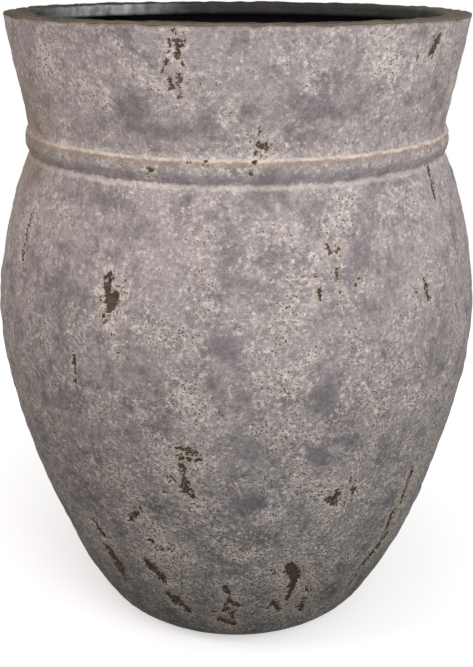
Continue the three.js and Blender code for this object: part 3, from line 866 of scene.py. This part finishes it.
def fibre_cement_finish():
    finish, tree = new_finish("bare fibre cement")
    rest = node(tree, "ShaderNodeAttribute", attribute_name="rest").outputs["Vector"]
    place = node(tree, "ShaderNodeSeparateXYZ", {0: rest})
    mottle = node(tree, "ShaderNodeTexNoise", {"Vector": rest, "W": 1.0, "Scale": per_metre(18),
                                               "Detail": 5.0, "Roughness": 0.6}, **SEEDED)
    patchy = node(tree, "ShaderNodeMapRange", {"Value": mottle, "From": (0.38, 0.62)}, **SMOOTH)
    # Painted light: the lip's top is lighter towards the right, where the light falls; painted shade: the
    # far side is darker
    light_on_right = node(tree, "ShaderNodeMapRange", {"Value": place.outputs["X"], "From": (0.05, 0.28)}, **SMOOTH)
    shade_on_far_side = node(tree, "ShaderNodeMapRange", {"Value": place.outputs["Y"], "From": (0.0, 0.2),
                                               "To Max": 0.75}, **SMOOTH)
    ground = paint("#3b3730")
    for mask, tint in ((patchy, "#665f53"), (light_on_right, "#6e675b"), (shade_on_far_side, "#272a24")):
        ground = node(tree, "ShaderNodeMix", {0: mask, 6: ground, 7: paint(tint)}, **COLOUR)
    grit = node(tree, "ShaderNodeTexNoise", {"Vector": rest, "W": 2.0, "Scale": per_metre(2.4),
                                             "Detail": 2.0}, **SEEDED)
    shade = node(tree, "ShaderNodeMapRange", {"Value": grit, "From": (0.3, 0.7), "To": (0.6, 1.4)})
    gritty = node(tree, "ShaderNodeMix", {0: 1.0, 6: ground, 7: shade}, **COLOUR, blend_type="MULTIPLY")

    # Brush strokes of the lining's paint, only on the face of the lip that looks to the axis
    angle, strokes = brush_strokes(tree, place, radius=mouth / 1000, stretch=0.6, size=14)
    square = node(tree, "ShaderNodeVectorMath", {0: rest, 1: (1.0, 1.0, 0.0)}, operation="MULTIPLY")
    radius = node(tree, "ShaderNodeVectorMath", {0: square}, operation="LENGTH").outputs["Value"]
    facing_in = node(tree, "ShaderNodeMapRange", {"Value": radius, "From": LIP_FACE, "To": (1.0, 0.0)},
                     **SMOOTH)
    above_foot = node(tree, "ShaderNodeMath", {0: place.outputs["Z"], 1: LIP_ZONE},
                      operation="GREATER_THAN")
    inner = node(tree, "ShaderNodeMath", {0: facing_in, 1: above_foot}, operation="MULTIPLY")
    # Painted sheen: pale bluish streaks round this angle stand in for the light reflected in the coat
    past_sheen = node(tree, "ShaderNodeMath", {0: angle, 1: -SHEEN_ANGLE}, operation="ADD")
    from_sheen = node(tree, "ShaderNodeMath", {0: past_sheen}, operation="ABSOLUTE")
    sheen_mask = node(tree, "ShaderNodeMapRange", {"Value": from_sheen, "From": (0.05, 0.65),
                                                "To": (1.0, 0.03)}, **SMOOTH)
    stroke_mask = node(tree, "ShaderNodeMapRange", {"Value": strokes, "From": (0.34, 0.66), "To": (0.3, 0.92)})
    sheen_streak = node(tree, "ShaderNodeMath", {0: stroke_mask, 1: sheen_mask}, operation="MULTIPLY")
    paint_and_sheen = node(tree, "ShaderNodeMix", {0: sheen_streak, 6: paint("#262320"), 7: paint("#d6dadb")}, **COLOUR)
    at_edge = node(tree, "ShaderNodeMapRange", {"Value": radius, "From": LIP_EDGE}, **SMOOTH)
    handled = node(tree, "ShaderNodeMapRange", {"Value": place.outputs["Y"], "From": (-0.2, 0.0),
                                                "To": (0.6, 0.0)})
    outer = node(tree, "ShaderNodeMath", {0: at_edge, 1: handled}, operation="MULTIPLY")
    # Painted shade: under the lip the colour turns black, which is partly the coat and partly the shade
    # there
    under = node(tree, "ShaderNodeMapRange", {"Value": place.outputs["Z"], "From": LIP_UNDERSIDE,
                                              "To": (1.0, 0.0)})
    black_coat_and_shade = node(tree, "ShaderNodeMath", {0: under, 1: above_foot}, operation="MULTIPLY")
    colour = gritty
    for mask, tint in ((inner, paint_and_sheen), (outer, paint("#7f7165")), (black_coat_and_shade, paint("#151312"))):
        colour = node(tree, "ShaderNodeMix", {0: mask, 6: colour, 7: tint}, **COLOUR)
    gloss = node(tree, "ShaderNodeMapRange", {"Value": inner, "To": (0.88, 0.7)})
    shine = node(tree, "ShaderNodeMapRange", {"Value": inner, "To": (0.12, 0.35)})
    relief = weighted(tree, grit, (mottle, 0.6))
    bare_lip = {"Base Color": colour, "Roughness": gloss, "Specular IOR Level": shine}
    end_finish(tree, bare_lip, relief, strength=0.8, depth=0.0015)
    return finish


fibre_cement = fibre_cement_finish()

# %% Make the core
core = turned_piece("bare_core", core_loop, CORE_COLUMNS, fibre_cement)
run_tree(weather, core, {**HAND_LAID, "Lumps": 0.004, "Finish": fibre_cement})
print("core spans", [round(side * 1000) for side in core.dimensions], "mm")

# %% [markdown]
# ## The black lining
# The lining is a bitumen paint, brushed on in upright strokes. It is black with a dull sheen, and lies in
# ridges that catch a little light, so its bump follows the strokes.

# %% The lining finish and piece
def lining_finish():
    finish, tree = new_finish("brushed bitumen paint")
    rest = node(tree, "ShaderNodeAttribute", attribute_name="rest").outputs["Vector"]
    place = node(tree, "ShaderNodeSeparateXYZ", {0: rest})
    strokes = brush_strokes(tree, place, radius=0.23, stretch=0.06, size=6)[1]
    stroke_mask = node(tree, "ShaderNodeMapRange", {"Value": strokes, "From": (0.4, 0.7)}, **SMOOTH)
    colour = node(tree, "ShaderNodeMix", {0: stroke_mask, 6: paint("#12100f"), 7: paint("#1f1d1c")}, **COLOUR)
    gloss = node(tree, "ShaderNodeMapRange", {"Value": strokes, "From": (0.3, 0.7), "To": (0.42, 0.62)})
    end_finish(tree, {"Base Color": colour, "Roughness": gloss}, strokes, strength=0.5, depth=0.001)
    return finish


bitumen = lining_finish()
lining = turned_piece("brushed_lining", lining_loop, LINING_COLUMNS, bitumen)
run_tree(weather, lining, {**HAND_LAID, "Lumps": 0.001, "Lump size": 0.02, "Finish": bitumen})

# %% [markdown]
# ## The rubber plug
# The plug is moulded rubber: nearly black, with a fine texture from the mould and a little dust in
# patches.

# %% The rubber finish and piece
def rubber_finish():
    finish, tree = new_finish("moulded black rubber")
    rest = node(tree, "ShaderNodeTexCoord").outputs["Object"]
    grain = node(tree, "ShaderNodeTexNoise", {"Vector": rest, "Scale": per_metre(1.2), "Detail": 2.0})
    dust = node(tree, "ShaderNodeTexNoise", {"Vector": rest, "Scale": per_metre(9), "Detail": 5.0,
                                             "Roughness": 0.65})
    dusty = node(tree, "ShaderNodeMapRange", {"Value": dust, "From": (0.45, 0.75), "To Max": 0.5}, **SMOOTH)
    colour = node(tree, "ShaderNodeMix", {0: dusty, 6: paint("#262527"), 7: paint("#4c4742")}, **COLOUR)
    gloss = node(tree, "ShaderNodeMapRange", {"Value": dust, "From": (0.4, 0.7), "To": (0.55, 0.8)})
    end_finish(tree, {"Base Color": colour, "Roughness": gloss}, grain, strength=0.3, depth=0.0004)
    return finish


plug = turned_piece("rubber_plug", plug_line, PLUG_COLUMNS, rubber_finish(), closed=False)

# %% [markdown]
# ## Putting the pieces on their bodies
# Each piece rides on the body of the solid that it stands for. The solids stay in the model for the
# simulation, and are no longer shown.

# %% Ride and replace
for piece, body, solid, slot in (
        (coat, "pot", "stone_coat", "stone_wash"), (core, "pot", "fibre_core", "fibre_cement"),
        (lining, "pot", "inner_lining", "lining"), (plug, "plug", "drain_plug", "plug_rubber")):
    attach(piece, body)
    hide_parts(solid)

# %% [markdown]
# ## Floor, light and camera
# The pot stands on a plain white floor. To the camera the floor is lifted to white. Further away it is
# lifted more, so that its far edge doesn't show, and near the pot it still has the soft shadow. To the
# light that bounces it is a dark grey, so that the underside of the belly stays dark. A large soft lamp
# stands at the front right and above, a smaller warm one at the left, and a dim sky fills the rest.

# %% The floor
FLOOR_HALF = 2
GLOW_NEAR, GLOW_FAR, SKY_LIGHT = 0.43, 0.6, 0.41


def seen_rays(tree, *others):
    """1 for rays from the camera and for the other kinds that are named, 0 for light that bounces."""
    path = node(tree, "ShaderNodeLightPath")
    seen = path.outputs["Is Camera Ray"]
    for kind in others:
        seen = node(tree, "ShaderNodeMath", {0: seen, 1: path.outputs[kind]}, operation="MAXIMUM")
    return seen


def floor_finish():
    finish, tree = new_finish("white studio floor")
    seen = seen_rays(tree, "Is Glossy Ray", "Is Transmission Ray")
    paper = node(tree, "ShaderNodeBsdfDiffuse", {"Color": paint("#fafafa")})
    place = node(tree, "ShaderNodeTexCoord").outputs["Object"]
    away = node(tree, "ShaderNodeVectorMath", {0: place}, operation="LENGTH").outputs["Value"]
    glow = node(tree, "ShaderNodeMapRange", {"Value": away, "From": (0.25, 0.7),
                                             "To": (GLOW_NEAR, GLOW_FAR)})
    lift = node(tree, "ShaderNodeEmission", {"Color": paint("#ffffff"), "Strength": glow})
    white = node(tree, "ShaderNodeAddShader", {0: paper, 1: lift})
    grey = node(tree, "ShaderNodeBsdfDiffuse", {"Color": paint("#464544")})
    shown = node(tree, "ShaderNodeMixShader", {0: seen, 1: grey, 2: white})
    node(tree, "ShaderNodeOutputMaterial", {"Surface": shown})
    return finish


sheet = bpy.data.meshes.new("floor")
corners = [(x * FLOOR_HALF, y * FLOOR_HALF, 0) for x, y in ((-1, -1), (1, -1), (1, 1), (-1, 1))]
sheet.from_pydata(corners, [], [(0, 1, 2, 3)])
sheet.materials.append(floor_finish())
ground = bpy.data.objects.new("floor", sheet)
bpy.context.scene.collection.objects.link(ground)

# %% The sky and the lamps
sky = bpy.data.worlds.new("studio")
sky.use_nodes = True
sky_tree = sky.node_tree
sky_tree.nodes.clear()
bpy.context.scene.world = sky
seen = seen_rays(sky_tree, "Is Glossy Ray")
strength = node(sky_tree, "ShaderNodeMapRange", {"Value": seen, "To": (SKY_LIGHT, 1.0)})
back = node(sky_tree, "ShaderNodeBackground", {"Color": paint("#ffffff"), "Strength": strength})
node(sky_tree, "ShaderNodeOutputWorld", {"Surface": back})


def softbox(name, place, aim, size, power, tint):
    lamp = bpy.data.lights.new(name, "AREA")
    lamp.shape = "DISK"
    lamp.size = size
    lamp.energy = power
    lamp.color = paint(tint)[:3]
    stand = bpy.data.objects.new(name, lamp)
    stand.location = place
    way = np.array(aim) - np.array(place)
    level = math.hypot(way[0], way[1])
    stand.visible_camera = False
    stand.rotation_euler = (math.atan2(level, -way[2]), 0, math.atan2(way[1], way[0]) - math.pi / 2)
    bpy.context.scene.collection.objects.link(stand)


softbox("key_softbox", place=(0.75, -1.6, 1.15), aim=(0, 0, 0.5), size=1.5, power=22.4, tint="#ffffff")
softbox("warm_fill", place=(-1.7, -0.8, 1.4), aim=(0, 0, 0.6), size=0.8, power=11.5, tint="#fff0e7")

# %% [markdown]
# ## The camera
# The camera stands a little above the rim and looks down at the jar, as in the photograph. Its distance and
# tilt were fitted to the ellipses of the rim and of the groove under the bead: how flat they are gives the
# tilt, and how much flatter the higher one is gives the distance. The lens then fills the frame with the
# jar.

# %% The camera
CAMERA_BACK, CAMERA_HEIGHT, CAMERA_TILT, CAMERA_ROLL, CAMERA_LENS = 1.1737, 0.7727, 20.27, 0.14, 54.68
lens = bpy.data.cameras.new("camera")
lens.lens = CAMERA_LENS
camera = bpy.data.objects.new("camera", lens)
camera.location = (0, -CAMERA_BACK, CAMERA_HEIGHT)
tilt = Matrix.Rotation(math.radians(90 - CAMERA_TILT), 3, "X")
roll = Matrix.Rotation(math.radians(CAMERA_ROLL), 3, "Z")
camera.rotation_euler = (tilt @ roll).to_euler()
bpy.context.scene.collection.objects.link(camera)
bpy.context.scene.camera = camera
bpy.context.scene.view_settings.view_transform = "Standard"
